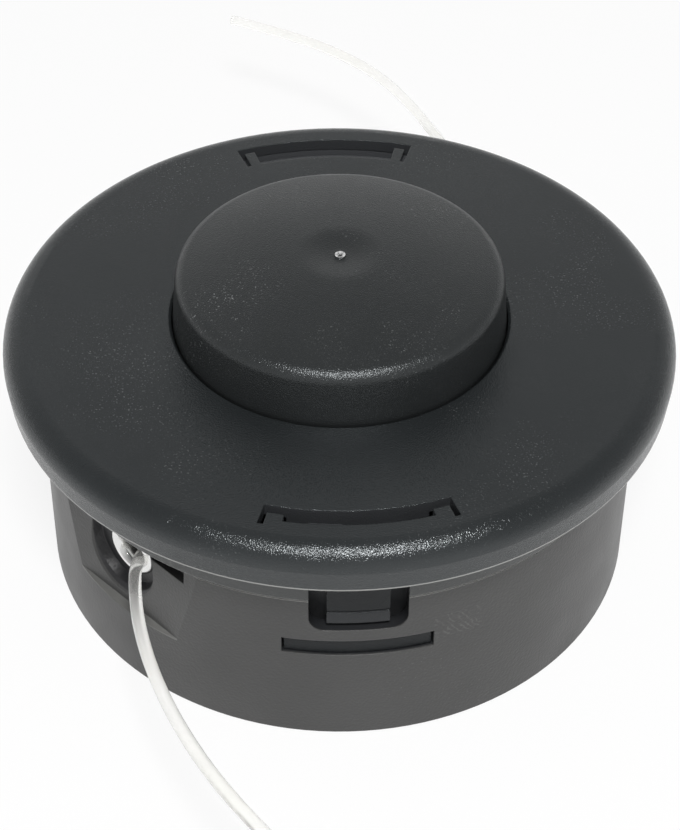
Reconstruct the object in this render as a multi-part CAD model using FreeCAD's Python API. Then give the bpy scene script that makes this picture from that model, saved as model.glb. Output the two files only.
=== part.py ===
import FreeCAD, Part
import math
import os

# Two-line bump feed trimmer head, lying on its gearbox side with the bump knob up.
# The axis of rotation is Z, the base stands on z = 0, and the cover's two latches lie on the Y axis.

# Driving dimensions in millimetres, angles in degrees

# Housing: the drum that screws onto the drive shaft
RIM_OVERHANG = 5.7            # how far the cover's rim stands out of the drum
DRUM_TAPER = 0.5              # how much the drum's radius shrinks up to the shoulder
DRUM_WALL = 2.8
SHOULDER_Z = 36.0             # joint line between the drum and the cover's skirt
SPIGOT_WALL = 1.4             # thin upper lip of the drum that the skirt closes over
SPIGOT_H = 7.0
BASE_T = 3.5
BASE_EDGE = 0.3               # chamfer round the base
HUB_R = 15.0                  # boss round the drive nut
HUB_TOP_Z = 15.0
POST_R = 9.0                  # journal that the spool turns and slides on
POST_TOP_Z = 43.5
SHAFT_HOLE_R = 6.4
SHAFT_HOLE_TOP_Z = 38.0

# Drive nut: steel hexagon with a left-hand M12 thread, drawn at its minor diameter
NUT_ACROSS_FLATS = 19.0
NUT_H = 12.0
NUT_BORE_R = 5.19
NUT_CHAMFER = 1.0
NUT_SINK = 0.4                # how far the nut lies above the base
PRESS_CLEAR = 0.05            # play of the pieces that are pressed in

# Dogs: stepped stops that let the spool turn half a step on each press and each release
DOG_COUNT = 6
DOG_ANGLE = 12.0
DOG_GAP = 0.4                 # axial play over the dogs
STROKE = 8.0
LOW_DOG_H = 3.0
LOW_DOG_W = 7.5
LOW_DOG_SET_IN = 2.5          # dogs stand back from the spool's edge
TOP_DOG_H = 3.6
TOP_DOG_W = 5.0
COVER_PLAY = 0.3              # spool's top dogs below the cover

# Cover: wide disc with a rounded edge, a skirt and two latches
DISC_R = 65.0
DISC_TOP_Z = 54.5
DISC_EDGE_R = 4.5
RIM_STRAIGHT = 5.0            # straight part of the rim below its rounding
RIM_DRAFT = 0.4
RIM_CHAMFER = 0.5             # small chamfers under the rim and the skirt
SKIRT_CHAMFER = 0.3
COVER_WALL = 2.5
HOLE_EDGE = 0.5
SKIRT_CLEAR = 0.2
SKIRT_PROUD = 0.15            # skirt stands this far out of the drum
SKIRT_GAP = 0.15              # open joint line under the skirt

# Latch: finger, hook, thumb pad, and the openings that show them
FRONT_LATCH = 270.0
REAR_LATCH = 90.0
LATCH_ANGLES = (FRONT_LATCH, REAR_LATCH)
FINGER_SET_IN = 1.9           # outer face of the finger inside the drum's wall
SLOT_THIN = 1.7
SLOT_DEEP = 3.3
SLOT_HALF_ANGLE = 17.5
SLOT_DEEP_HALF_ANGLE = 13.4
SLOT_ARM = 4.6
SLOT_ARM_W = 1.0
SLOT_STEP_W = 1.0             # small step on the outer side of the front slot
SLOT_STEP_SINK = 0.8
SLOT_STEP_HALF_ANGLE = 3.0
SLOT_STEP_TURN = -6.0         # where the step lies, from the middle of the slot
REAR_SLOT_DEEP = 3.4          # through part of the rear slot, outside its finger
REAR_SLOT_THIN = 1.7
REAR_SLOT_HALF_ANGLE = 18.8
REAR_DEEP_HALF_ANGLE = 15.5
REAR_RECESS_IN = 0.6          # recess over the rear finger, past its inner face
REAR_RECESS_DEPTH = 1.5
FINGER_T = 2.2
HOOK_REACH = 4.3
HOOK_Z = 22.2
HOOK_H = 3.45
HOOK_LEAD = 1.4               # slope under the hook that guides it over the drum
LATCH_CLEAR = 0.3
CATCH_CLEAR_Z = 0.2
WINDOW_W = 18.0
WINDOW_Z = 28.6
WINDOW_CORNER_R = 3.0
PAD_HALF_ANGLE = 5.7
PAD_Z = 28.9
PAD_H = 11.5
PAD_REACH = 4.0
PAD_CREASE_Z = 32.4
NOTCH_OVER_PAD = 1.0          # the skirt's notch ends this far over the thumb pad
PAD_CREASE = 0.9

# Eyelets and the flats that hold them
EYELET_ANGLES = {"front": 222.5, "rear": 42.5}
EYELET_Z = 30.0
EYELET_BORE_R = 3.2
EYELET_FLARE_R = 4.4
EYELET_BARREL_R = 4.4
EYELET_FLANGE_R = 5.7
EYELET_FLANGE_T = 1.6
FLAT_Z = 16.4                 # lower edge of the ledge under the flat
FLAT_SINK = 1.8               # the flat lies this far inside the drum at its ledge
LEDGE_RISE = 0.6              # the ledge slopes up to the flat by this
FLAT_LEAN = 0.085             # how much the flat leans in for each millimetre of height
FLAT_TOP_Z = 32.2             # upper edge of the flat's wall, open above
FLAT_OPEN_W = 30.0            # width of that opening
SEAT_WALL = 2.6               # wall behind the bowl
SEAT_SINK = 2.9               # floor of the bowl below the flat's foot, where the flange sits
BOWL_FLOOR_R = 7.8
BOWL_BEND_R = 8.5
BOWL_BEND = 1.8               # height of the bend in the bowl's side
BOWL_MOUTH_R = 10.2
BOWL_DEPTH = 3.0
BOWL_DROP = 1.6               # the bowl is longer towards the base
BOWL_SHIFT = -1.9             # and set to one side of the eyelet, where the line sweeps
BOSS_R = 9.4

# Bump knob
KNOB_BASE_R = 32.2
KNOB_DRAFT = 0.75             # the side leans in by this above the cover
KNOB_EDGE_H = 2.63            # height of the rounded edge
KNOB_EDGE_W = 2.1             # width of the rounded edge
KNOB_DOME_H = 3.4             # rise of the dome
KNOB_EDGE_IN = 0.6            # a point on the rounded edge, in from the side's top
KNOB_EDGE_UP = 1.68           # and up from it
KNOB_TOP_Z = 69.0
KNOB_WALL = 2.6
KNOB_CLEAR = 0.3              # ring-shaped gap round the knob in the cover
DIMPLE_R = 8.3                # soft hollow in the middle of the dome
DIMPLE_STEPS = 8
DIMPLE_DEPTH = 0.9
GATE_R = 1.1
GATE_PIT_R = 0.5
GATE_H = 0.25
KNOB_TUBE_R = 14.0
KNOB_TUBE_WALL = 3.0
KNOB_SNAP_DEPTH = 4.0

# Spool and its windings
SPOOL_GAP = 1.9               # spool inside the latch fingers
SPOOL_CORE_R = 19.0
FLANGE_T = 2.0
MID_FLANGE_T = 1.6
JOURNAL_CLEAR = 0.06
HUB_CLEAR = 0.6
SPRING_POCKET_TOP_Z = 35.0
NOTCH_W = 2.6                 # slots in the middle flange that hold the line while winding
NOTCH_DEPTH = 5.0
WINDING_ROOM = 7.0            # wound line below the spool's edge
WINDING_CLEAR = 0.1
WINDING_TURNS = 5
WINDING_BUMP = 0.6

# Spring
SPRING_R = 12.3
SPRING_WIRE_R = 0.75
SPRING_TURNS = 6
SPRING_STEPS = 18
SPRING_SIDES = 8
SPRING_SEAT_CLEAR = 0.05

# Cutting line
LINE_R = 1.2
LINE_Z = 29.1

# Derived sizes
KNOB_EDGE_Z = KNOB_TOP_Z - KNOB_DOME_H
KNOB_SIDE_TOP_Z = KNOB_EDGE_Z - KNOB_EDGE_H
KNOB_SIDE_TOP_R = KNOB_BASE_R - KNOB_DRAFT
KNOB_EDGE_R = KNOB_SIDE_TOP_R - KNOB_EDGE_W
DRUM_BASE_R = DISC_R - RIM_OVERHANG
DRUM_TOP_R = DRUM_BASE_R - DRUM_TAPER
DRUM_IN_R = DRUM_TOP_R - DRUM_WALL
SLOT_IN_R = DRUM_IN_R - FINGER_SET_IN
FINGER_IN_R = SLOT_IN_R - FINGER_T
SPOOL_R = FINGER_IN_R - SPOOL_GAP
WINDING_R = SPOOL_R - WINDING_ROOM
LOW_DOG_OUT_R = SPOOL_R - LOW_DOG_SET_IN
LOW_DOG_IN_R = LOW_DOG_OUT_R - LOW_DOG_W
FLAT_FOOT_D = DRUM_BASE_R - FLAT_SINK
SEAT_D = FLAT_FOOT_D - SEAT_SINK
PAD_IN_D = SEAT_D - SEAT_WALL
SPIGOT_R = DRUM_IN_R + SPIGOT_WALL
SPIGOT_TOP_Z = SHOULDER_Z + SPIGOT_H
SKIRT_IN_R = SPIGOT_R + SKIRT_CLEAR
SKIRT_R = DRUM_TOP_R + SKIRT_PROUD
DISC_UNDER_Z = DISC_TOP_Z - COVER_WALL
SLOT_LOW_Z = DISC_UNDER_Z - COVER_WALL / 5
SLOT_HIGH_Z = DISC_TOP_Z + COVER_WALL / 2
HOLE_R = KNOB_BASE_R + KNOB_CLEAR
TOP_DOG_IN_R = HOLE_R + HOLE_EDGE
TOP_DOG_OUT_R = TOP_DOG_IN_R + TOP_DOG_W
SPOOL_TOP_Z = DISC_UNDER_Z - COVER_PLAY - TOP_DOG_H
LOW_FLANGE_Z = BASE_T + DOG_GAP + STROKE + LOW_DOG_H
MID_FLANGE_Z = (LOW_FLANGE_Z + SPOOL_TOP_Z - MID_FLANGE_T) / 2
NUT_POCKET_TOP_Z = NUT_SINK + NUT_H
DOG_PITCH = 360.0 / DOG_COUNT
FAR = 2 * DISC_R              # reach of cutting blocks past the part
AXIS = FreeCAD.Vector(0, 0, 1)
CENTRE = FreeCAD.Vector(0, 0, 0)

# Free routes of the two line ends, from inside the eyelet to the cut end
LINE_FRONT = [
    (-38.1, -35.75, LINE_Z), (-40.45, -40.2, LINE_Z), (-41.4, -47.0, LINE_Z), (-40.3, -56.0, LINE_Z - 0.1),
    (-37.6, -66.3, LINE_Z - 0.2), (-33.6, -77.6, LINE_Z - 0.3), (-28.2, -89.4, LINE_Z - 0.5),
    (-20.8, -100.8, LINE_Z - 0.7), (-10.9, -112.6, LINE_Z - 0.9), (1.2, -122.5, LINE_Z - 1.2),
    (15.0, -130.2, LINE_Z - 1.5), (29.8, -135.6, LINE_Z - 1.8),
]
LINE_REAR = [
    (38.1, 35.75, LINE_Z), (40.45, 40.2, LINE_Z), (41.4, 47.0, LINE_Z), (40.4, 57.5, LINE_Z - 0.1),
    (38.2, 69.5, LINE_Z - 0.2), (34.8, 82.0, LINE_Z - 0.3), (30.2, 95.0, LINE_Z - 0.5),
    (24.4, 109.2, LINE_Z - 0.7), (16.6, 122.6, LINE_Z - 0.9), (6.4, 134.4, LINE_Z - 1.2),
    (-5.4, 143.6, LINE_Z - 1.5), (-18.0, 151.6, LINE_Z - 1.8),
]


def vec(x, y, z):
    return FreeCAD.Vector(x, y, z)


def disc(radius, z_low, z_high):
    return Part.makeCylinder(radius, z_high - z_low, vec(0, 0, z_low))


def ring(r_in, r_out, z_low, z_high):
    return disc(r_out, z_low, z_high).cut(disc(r_in, z_low, z_high))


def turned(shape, angle):
    """A copy of the shape, turned about the axis of the head."""
    copy = shape.copy()
    copy.rotate(CENTRE, AXIS, angle)
    return copy


def fused(shapes):
    first = shapes[0]
    return first.fuse(shapes[1:]).removeSplitter()


def profile_edges(points):
    """Edges of a closed profile in XZ; a point of four numbers ends an arc through its first two."""
    edges = []
    start = points[0]
    for point in list(points[1:]) + [points[0]]:
        a = vec(start[-2], 0, start[-1])
        b = vec(point[-2], 0, point[-1])
        if len(point) == 4:
            edges.append(Part.Arc(a, vec(point[0], 0, point[1]), b).toShape())
        else:
            edges.append(Part.LineSegment(a, b).toShape())
        start = point
    return edges


def revolved(points, angle=360.0, middle=0.0):
    """Solid of a profile (radius, height), turned about the axis and centred on the middle angle."""
    face = Part.Face(Part.Wire(profile_edges(points)))
    if angle < 360.0:
        face = turned(face, middle - angle / 2)
    return face.revolve(CENTRE, AXIS, angle)


def sector(r_in, r_out, z_low, z_high, half_angle, middle):
    box = [(r_in, z_low), (r_out, z_low), (r_out, z_high), (r_in, z_high)]
    return revolved(box, 2 * half_angle, middle)


def dogs(r_in, r_out, z_low, z_high, offset):
    """Ring of stops, evenly spaced from the offset angle."""
    angles = [offset + i * DOG_PITCH for i in range(DOG_COUNT)]
    return [sector(r_in, r_out, z_low, z_high, DOG_ANGLE / 2, angle) for angle in angles]


def outward(shape, angle, distance, height, aside=0.0):
    """A shape drawn along +Z, laid along the radius at that angle, distance, height and shift to the side."""
    copy = shape.copy()
    copy.rotate(CENTRE, vec(0, 1, 0), 90)
    copy.translate(vec(distance, aside, height))
    return turned(copy, angle)


def edge_arc_middle(cx, cz, radius):
    """Middle of the quarter arc from straight up to straight out."""
    half = math.radians(45)
    return cx + radius * math.cos(half), cz + radius * math.sin(half)


def window_block(z_top, corner):
    """Rounded block that opens the thumb window through the wall on the +X side."""
    corner_at = vec(SLOT_IN_R + LATCH_CLEAR, -WINDOW_W / 2, WINDOW_Z)
    block = Part.makeBox(DRUM_BASE_R, WINDOW_W, z_top - WINDOW_Z, corner_at)
    if corner:
        low = [e for e in block.Edges if abs(e.CenterOfMass.z - WINDOW_Z) < 1e-6 and e.BoundBox.XLength > 1]
        block = block.makeFillet(WINDOW_CORNER_R, low)
    return block


def eyelet_flat():
    """Leaning flat on the +X side, cut down to a sloping ledge."""
    top_d = FLAT_FOOT_D - FLAT_LEAN * (DISC_TOP_Z - FLAT_Z)
    corners = [
        (FLAT_FOOT_D, FLAT_Z + LEDGE_RISE), (DRUM_BASE_R, FLAT_Z), (FAR, FLAT_Z), (FAR, DISC_TOP_Z),
        (top_d, DISC_TOP_Z)]
    wire = Part.makePolygon([vec(x, -DISC_R, z) for x, z in corners + corners[:1]])
    return Part.Face(wire).extrude(vec(0, 2 * DISC_R, 0))


def eyelet_bowl():
    """Rounded hollow round the eyelet, drawn along +Z from the seat outwards."""
    return revolved([
        (0, 0), (BOWL_FLOOR_R, 0), (BOWL_BEND_R, BOWL_BEND), (BOWL_MOUTH_R, BOWL_DEPTH),
        (BOWL_MOUTH_R, FAR), (0, FAR)])


def make_housing():
    edge = BASE_EDGE
    shell = revolved([
        (0, 0), (DRUM_BASE_R - edge, 0), (DRUM_BASE_R, edge), (DRUM_TOP_R, SHOULDER_Z),
        (SPIGOT_R, SHOULDER_Z), (SPIGOT_R, SPIGOT_TOP_Z), (DRUM_IN_R, SPIGOT_TOP_Z), (DRUM_IN_R, BASE_T),
        (HUB_R, BASE_T), (HUB_R, HUB_TOP_Z), (POST_R, HUB_TOP_Z), (POST_R, POST_TOP_Z), (0, POST_TOP_Z)])
    pieces = [shell]
    for angle in EYELET_ANGLES.values():
        wall = disc(DRUM_IN_R + DRUM_WALL / 2, BASE_T - 1, FLAT_TOP_Z)
        pad = wall.common(Part.makeBox(FAR, FAR, FAR, vec(PAD_IN_D, -DISC_R, 0)))
        pieces.append(turned(pad, angle))
        pieces.append(outward(Part.makeCylinder(BOSS_R, SEAT_D - PAD_IN_D), angle, PAD_IN_D, EYELET_Z))
    pieces += dogs(LOW_DOG_IN_R, LOW_DOG_OUT_R, BASE_T - 1, BASE_T + LOW_DOG_H, DOG_PITCH / 2)
    housing = fused(pieces)

    cuts = [disc(SHAFT_HOLE_R, 0, SHAFT_HOLE_TOP_Z), nut_blank(-1, NUT_POCKET_TOP_Z, PRESS_CLEAR)]
    for angle in LATCH_ANGLES:
        cuts.append(turned(window_block(DISC_TOP_Z, True), angle))
        catch_low = HOOK_Z - CATCH_CLEAR_Z
        catch_high = HOOK_Z + HOOK_H + CATCH_CLEAR_Z
        catch_half = SLOT_DEEP_HALF_ANGLE + math.degrees(LATCH_CLEAR / DRUM_TOP_R)
        cuts.append(sector(DRUM_IN_R - 1, DRUM_BASE_R + 1, catch_low, catch_high, catch_half, angle))
    bowl = eyelet_bowl()
    barrel_hole = Part.makeCylinder(EYELET_BARREL_R + PRESS_CLEAR, FAR)
    above = Part.makeBox(FAR, FLAT_OPEN_W, FAR, vec(SEAT_D, -FLAT_OPEN_W / 2, FLAT_TOP_Z))
    for angle in EYELET_ANGLES.values():
        cuts.append(outward(bowl, angle, SEAT_D, EYELET_Z, BOWL_SHIFT))
        cuts.append(outward(bowl, angle, SEAT_D, EYELET_Z - BOWL_DROP, BOWL_SHIFT))
        cuts.append(outward(barrel_hole, angle, PAD_IN_D - BOSS_R, EYELET_Z))
        cuts.append(turned(eyelet_flat(), angle))
        cuts.append(turned(above, angle))
    return housing.cut(cuts).removeSplitter()


def nut_blank(z_low, z_high, clear):
    """Hexagonal prism across the nut's flats, with play all round."""
    corner = (NUT_ACROSS_FLATS / 2 + clear) / math.cos(math.radians(30))
    angles = [math.radians(60 * i) for i in range(7)]
    wire = Part.makePolygon([vec(corner * math.cos(a), corner * math.sin(a), z_low) for a in angles])
    return Part.Face(wire).extrude(vec(0, 0, z_high - z_low))


def make_drive_nut():
    low, high = NUT_SINK, NUT_POCKET_TOP_Z
    corner = NUT_ACROSS_FLATS / 2 / math.cos(math.radians(30))
    flat = NUT_ACROSS_FLATS / 2
    drop = (corner - flat) * math.tan(math.radians(30))
    turned_ends = revolved([
        (NUT_BORE_R + NUT_CHAMFER, low), (flat, low), (corner, low + drop), (corner, high - drop),
        (flat, high),
        (NUT_BORE_R + NUT_CHAMFER, high), (NUT_BORE_R, high - NUT_CHAMFER), (NUT_BORE_R, low + NUT_CHAMFER)])
    return nut_blank(low, high, 0).common(turned_ends)


def latch_parts(angle):
    """Finger with its hook and thumb pad, hanging from the disc at that angle."""
    half = SLOT_DEEP_HALF_ANGLE
    face = SLOT_IN_R
    back = FINGER_IN_R
    hook_top = HOOK_Z + HOOK_H
    tip = face + HOOK_REACH
    finger = sector(back, face, HOOK_Z - HOOK_LEAD, DISC_UNDER_Z + COVER_WALL / 2, half, angle)
    hook = revolved([
        (back, HOOK_Z - HOOK_LEAD), (face, HOOK_Z - HOOK_LEAD), (DRUM_IN_R - LATCH_CLEAR, HOOK_Z),
        (tip, HOOK_Z), (tip, hook_top), (back, hook_top)],
        2 * half, angle)
    reach = face + PAD_REACH
    pad = revolved([
        (back, PAD_Z), (reach - PAD_CREASE, PAD_Z), (reach, PAD_Z + PAD_CREASE),
        (reach - PAD_CREASE / 3, PAD_CREASE_Z - PAD_CREASE / 3), (reach - PAD_CREASE, PAD_CREASE_Z),
        (reach - PAD_CREASE / 3, PAD_CREASE_Z + PAD_CREASE / 3), (reach, PAD_Z + PAD_H - PAD_CREASE),
        (reach - PAD_CREASE, PAD_Z + PAD_H), (back, PAD_Z + PAD_H)],
        2 * PAD_HALF_ANGLE, angle)
    return [finger, hook, pad]


def slot_arms(r_in, r_out, z_low, half_angle, middle):
    """Two narrow arms at the ends of a slot."""
    arm_half = math.degrees(SLOT_ARM_W / SLOT_IN_R) / 2
    angles = [middle + side * (half_angle - arm_half) for side in (-1, 1)]
    return [sector(r_in, r_out, z_low, SLOT_HIGH_Z, arm_half, angle) for angle in angles]


def front_slot():
    """Slot outside the front finger, with arms towards the rim."""
    thin = SLOT_IN_R + SLOT_THIN
    deep = SLOT_IN_R + SLOT_DEEP
    return [
        sector(SLOT_IN_R, thin, SLOT_LOW_Z, SLOT_HIGH_Z, SLOT_HALF_ANGLE, FRONT_LATCH),
        sector(SLOT_IN_R, deep, SLOT_LOW_Z, SLOT_HIGH_Z, SLOT_DEEP_HALF_ANGLE, FRONT_LATCH),
    ] + slot_arms(SLOT_IN_R, SLOT_IN_R + SLOT_ARM, SLOT_LOW_Z, SLOT_HALF_ANGLE, FRONT_LATCH)


def front_slot_step():
    """Small step that the mould leaves on the outer side of the front slot."""
    deep = SLOT_IN_R + SLOT_DEEP
    top = DISC_TOP_Z - SLOT_STEP_SINK
    middle = FRONT_LATCH + SLOT_STEP_TURN
    return sector(deep - SLOT_STEP_W, deep + SLOT_STEP_W, DISC_UNDER_Z, top, SLOT_STEP_HALF_ANGLE, middle)


def rear_slot():
    """Slot outside the rear finger, with a recess over the finger and arms towards the knob."""
    deep = SLOT_IN_R + REAR_SLOT_DEEP
    recess_r = FINGER_IN_R - REAR_RECESS_IN
    recess_z = DISC_TOP_Z - REAR_RECESS_DEPTH
    return [
        sector(deep - REAR_SLOT_THIN, deep, SLOT_LOW_Z, SLOT_HIGH_Z, REAR_SLOT_HALF_ANGLE, REAR_LATCH),
        sector(SLOT_IN_R, deep, SLOT_LOW_Z, SLOT_HIGH_Z, REAR_DEEP_HALF_ANGLE, REAR_LATCH),
        sector(recess_r, deep, recess_z, SLOT_HIGH_Z, REAR_DEEP_HALF_ANGLE, REAR_LATCH),
    ] + slot_arms(recess_r, deep, recess_z, REAR_SLOT_HALF_ANGLE, REAR_LATCH)


def make_cover():
    round_r = DISC_R - DISC_EDGE_R
    round_z = DISC_TOP_Z - DISC_EDGE_R
    inner_r = DISC_EDGE_R - COVER_WALL
    rim_low = round_z - RIM_STRAIGHT
    shell = revolved([
        (HOLE_R, DISC_UNDER_Z), (HOLE_R, DISC_TOP_Z - HOLE_EDGE), (HOLE_R + HOLE_EDGE, DISC_TOP_Z),
        (round_r, DISC_TOP_Z),
        edge_arc_middle(round_r, round_z, DISC_EDGE_R) + (DISC_R, round_z),
        (DISC_R - RIM_DRAFT, rim_low + RIM_CHAMFER), (DISC_R - RIM_DRAFT - RIM_CHAMFER, rim_low),
        (DISC_R - COVER_WALL, rim_low), (DISC_R - COVER_WALL, round_z),
        edge_arc_middle(round_r, round_z, inner_r), (round_r, DISC_UNDER_Z)])
    skirt_low = SHOULDER_Z + SKIRT_GAP
    skirt_high = DISC_UNDER_Z + COVER_WALL / 2
    skirt = revolved([
        (SKIRT_IN_R, skirt_low), (SKIRT_R - SKIRT_CHAMFER, skirt_low), (SKIRT_R, skirt_low + SKIRT_CHAMFER),
        (SKIRT_R, skirt_high), (SKIRT_IN_R, skirt_high)])
    notch_top = PAD_Z + PAD_H + NOTCH_OVER_PAD
    notches = [turned(window_block(notch_top, False), angle) for angle in LATCH_ANGLES]
    skirt = skirt.cut(notches)
    pieces = [shell, skirt]
    for angle in LATCH_ANGLES:
        pieces += latch_parts(angle)
    low = SPOOL_TOP_Z + DOG_GAP
    pieces += dogs(TOP_DOG_IN_R, TOP_DOG_OUT_R, low, DISC_UNDER_Z + COVER_WALL / 2, 0)
    slotted = fused(pieces).cut(front_slot() + rear_slot())
    return fused([slotted, front_slot_step()])


def dome_height(radius):
    """Height of the knob's top at this radius: a low dome with a soft hollow in its middle."""
    dome = KNOB_TOP_Z - KNOB_DOME_H * (radius / KNOB_EDGE_R) ** 2
    if radius >= DIMPLE_R:
        return dome
    return dome - DIMPLE_DEPTH * (1 - (radius / DIMPLE_R) ** 2) ** 2


def make_bump_knob():
    edge_mid = (KNOB_SIDE_TOP_R - KNOB_EDGE_IN, KNOB_SIDE_TOP_Z + KNOB_EDGE_UP)
    dome_r = (KNOB_EDGE_R + DIMPLE_R) / 2
    radii = [DIMPLE_R * i / DIMPLE_STEPS for i in range(DIMPLE_STEPS - 1, 1, -1)]
    floor_z = dome_height(radii[-1])
    wall = KNOB_WALL
    outer = revolved([
        (0, SPOOL_TOP_Z), (KNOB_BASE_R, SPOOL_TOP_Z), (KNOB_BASE_R, DISC_TOP_Z),
        (KNOB_SIDE_TOP_R, KNOB_SIDE_TOP_Z), edge_mid + (KNOB_EDGE_R, KNOB_EDGE_Z),
        (dome_r, dome_height(dome_r), DIMPLE_R, dome_height(DIMPLE_R))]
        + [(r, dome_height(r)) for r in radii] + [(0, floor_z)])
    inner_mid = (edge_mid[0] - wall, edge_mid[1] - wall)
    inner = revolved([
        (0, SPOOL_TOP_Z), (KNOB_BASE_R - wall, SPOOL_TOP_Z), (KNOB_SIDE_TOP_R - wall, KNOB_SIDE_TOP_Z - wall),
        inner_mid, (KNOB_EDGE_R - wall, KNOB_EDGE_Z - wall), (0, KNOB_TOP_Z - wall - DIMPLE_DEPTH)])
    tube_low = SPOOL_TOP_Z - KNOB_SNAP_DEPTH + PRESS_CLEAR
    tube = ring(KNOB_TUBE_R - KNOB_TUBE_WALL, KNOB_TUBE_R, tube_low, KNOB_TOP_Z - wall)
    gate = ring(GATE_PIT_R, GATE_R, floor_z - GATE_H, floor_z + GATE_H)
    return fused([outer.cut(inner), tube, gate])


def make_spool():
    pocket_r = HUB_R + HUB_CLEAR
    bore_r = POST_R + JOURNAL_CLEAR
    seat_r = KNOB_TUBE_R + PRESS_CLEAR
    seat_z = SPOOL_TOP_Z - KNOB_SNAP_DEPTH
    low_top = LOW_FLANGE_Z + FLANGE_T
    mid_top = MID_FLANGE_Z + MID_FLANGE_T
    top_under = SPOOL_TOP_Z - FLANGE_T
    body = revolved([
        (pocket_r, LOW_FLANGE_Z), (SPOOL_R, LOW_FLANGE_Z), (SPOOL_R, low_top), (SPOOL_CORE_R, low_top),
        (SPOOL_CORE_R, MID_FLANGE_Z), (SPOOL_R, MID_FLANGE_Z), (SPOOL_R, mid_top), (SPOOL_CORE_R, mid_top),
        (SPOOL_CORE_R, top_under), (SPOOL_R, top_under), (SPOOL_R, SPOOL_TOP_Z),
        (seat_r, SPOOL_TOP_Z), (seat_r, seat_z), (bore_r, seat_z), (bore_r, SPRING_POCKET_TOP_Z),
        (pocket_r, SPRING_POCKET_TOP_Z)])
    top = dogs(TOP_DOG_IN_R, TOP_DOG_OUT_R, top_under, SPOOL_TOP_Z + TOP_DOG_H, DOG_PITCH / 2)
    low = dogs(LOW_DOG_IN_R, LOW_DOG_OUT_R, LOW_FLANGE_Z - LOW_DOG_H, low_top, -DOG_PITCH / 2)
    notch_at = vec(SPOOL_R - NOTCH_DEPTH, -NOTCH_W / 2, MID_FLANGE_Z - 1)
    notch = Part.makeBox(NOTCH_DEPTH + 1, NOTCH_W, MID_FLANGE_T + 2, notch_at)
    notches = [turned(notch, angle) for angle in LATCH_ANGLES]
    return fused([body] + top + low).cut(notches).removeSplitter()


def make_winding(z_low, z_high):
    """Wound line in one chamber, as one body whose outside shows the turns."""
    low = z_low + WINDING_CLEAR
    high = z_high - WINDING_CLEAR
    pitch = (high - low) / WINDING_TURNS
    core = SPOOL_CORE_R + WINDING_CLEAR
    points = [(core, low), (WINDING_R, low)]
    for i in range(WINDING_TURNS):
        start = low + i * pitch
        points.append((WINDING_R + WINDING_BUMP, start + pitch / 2))
        points.append((WINDING_R, start + pitch))
    points.append((core, high))
    return revolved(points)


def make_spring():
    """Compression spring that stands between the hub and the top of the spool's pocket."""
    low = HUB_TOP_Z + SPRING_SEAT_CLEAR + SPRING_WIRE_R
    high = SPRING_POCKET_TOP_Z - SPRING_SEAT_CLEAR - SPRING_WIRE_R
    count = SPRING_TURNS * SPRING_STEPS
    sections = []
    for i in range(count + 1):
        angle = 2 * math.pi * i / SPRING_STEPS
        out = vec(math.cos(angle), math.sin(angle), 0)
        middle = out * SPRING_R + vec(0, 0, low + (high - low) * i / count)
        corners = []
        for k in range(SPRING_SIDES):
            lift = 2 * math.pi * (k + 0.5) / SPRING_SIDES
            reach = out * math.cos(lift) + vec(0, 0, math.sin(lift))
            corners.append(middle + reach * SPRING_WIRE_R)
        sections.append(Part.makePolygon(corners + corners[:1]))
    return Part.makeLoft(sections, True, True)


def make_eyelet(angle):
    """Flanged metal bush with a flared mouth, drawn along +Z with its seat at zero."""
    inner = PAD_IN_D - SEAT_D
    lip = EYELET_FLANGE_T / 2
    flange = EYELET_FLANGE_R
    flare = (EYELET_FLARE_R - EYELET_BORE_R) / 3
    bush = revolved([
        (EYELET_BORE_R, inner), (EYELET_BARREL_R, inner), (EYELET_BARREL_R, 0), (flange, 0), (flange, lip),
        (flange - lip, EYELET_FLANGE_T), (EYELET_FLARE_R, EYELET_FLANGE_T),
        (EYELET_BORE_R + flare, lip, EYELET_BORE_R, inner / 2)])
    return outward(bush, angle, SEAT_D, EYELET_Z)


def make_line(name, route):
    """Round line along straight runs joined by tangent arcs."""
    points = [FreeCAD.Vector(*p) for p in route]
    edges = []
    start = points[0]
    radii = []
    for before, corner, after in zip(points, points[1:], points[2:]):
        back = before - corner
        ahead = after - corner
        turn = math.pi - back.getAngle(ahead)
        setback = 0.45 * min(back.Length, ahead.Length)
        radius = setback / math.tan(turn / 2)
        radii.append(radius)
        arc_in = corner + back.normalize() * setback
        arc_out = corner + ahead.normalize() * setback
        bisector = (back + ahead).normalize()
        arc_mid = corner + bisector * (radius / math.cos(turn / 2) - radius)
        edges.append(Part.LineSegment(start, arc_in).toShape())
        edges.append(Part.Arc(arc_in, arc_mid, arc_out).toShape())
        start = arc_out
    edges.append(Part.LineSegment(start, points[-1]).toShape())
    path = Part.Wire(edges)
    section = Part.Wire(Part.makeCircle(LINE_R, points[0], points[1] - points[0]))
    tube = path.makePipeShell([section], True, False)
    expected = math.pi * LINE_R ** 2 * path.Length
    print(name, "length", round(path.Length, 1), "volume share", round(tube.Volume / expected, 4))
    print(name, "radii", [round(r, 1) for r in radii])
    return tube


def main():
    os.makedirs("parts", exist_ok=True)
    parts = {
        "housing": make_housing(),
        "drive_nut": make_drive_nut(),
        "cover": make_cover(),
        "bump_knob": make_bump_knob(),
        "spool": make_spool(),
        "spring": make_spring(),
        "winding_lower": make_winding(LOW_FLANGE_Z + FLANGE_T, MID_FLANGE_Z),
        "winding_upper": make_winding(MID_FLANGE_Z + MID_FLANGE_T, SPOOL_TOP_Z - FLANGE_T),
        "line_front": make_line("line_front", LINE_FRONT),
        "line_rear": make_line("line_rear", LINE_REAR),
    }
    for side, angle in EYELET_ANGLES.items():
        parts["eyelet_" + side] = make_eyelet(angle)
    for name, shape in parts.items():
        shape.exportStep("parts/" + name + ".step")
        print(name, "solids", len(shape.Solids), "valid", shape.isValid(), "volume", round(shape.Volume))


main()
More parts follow.
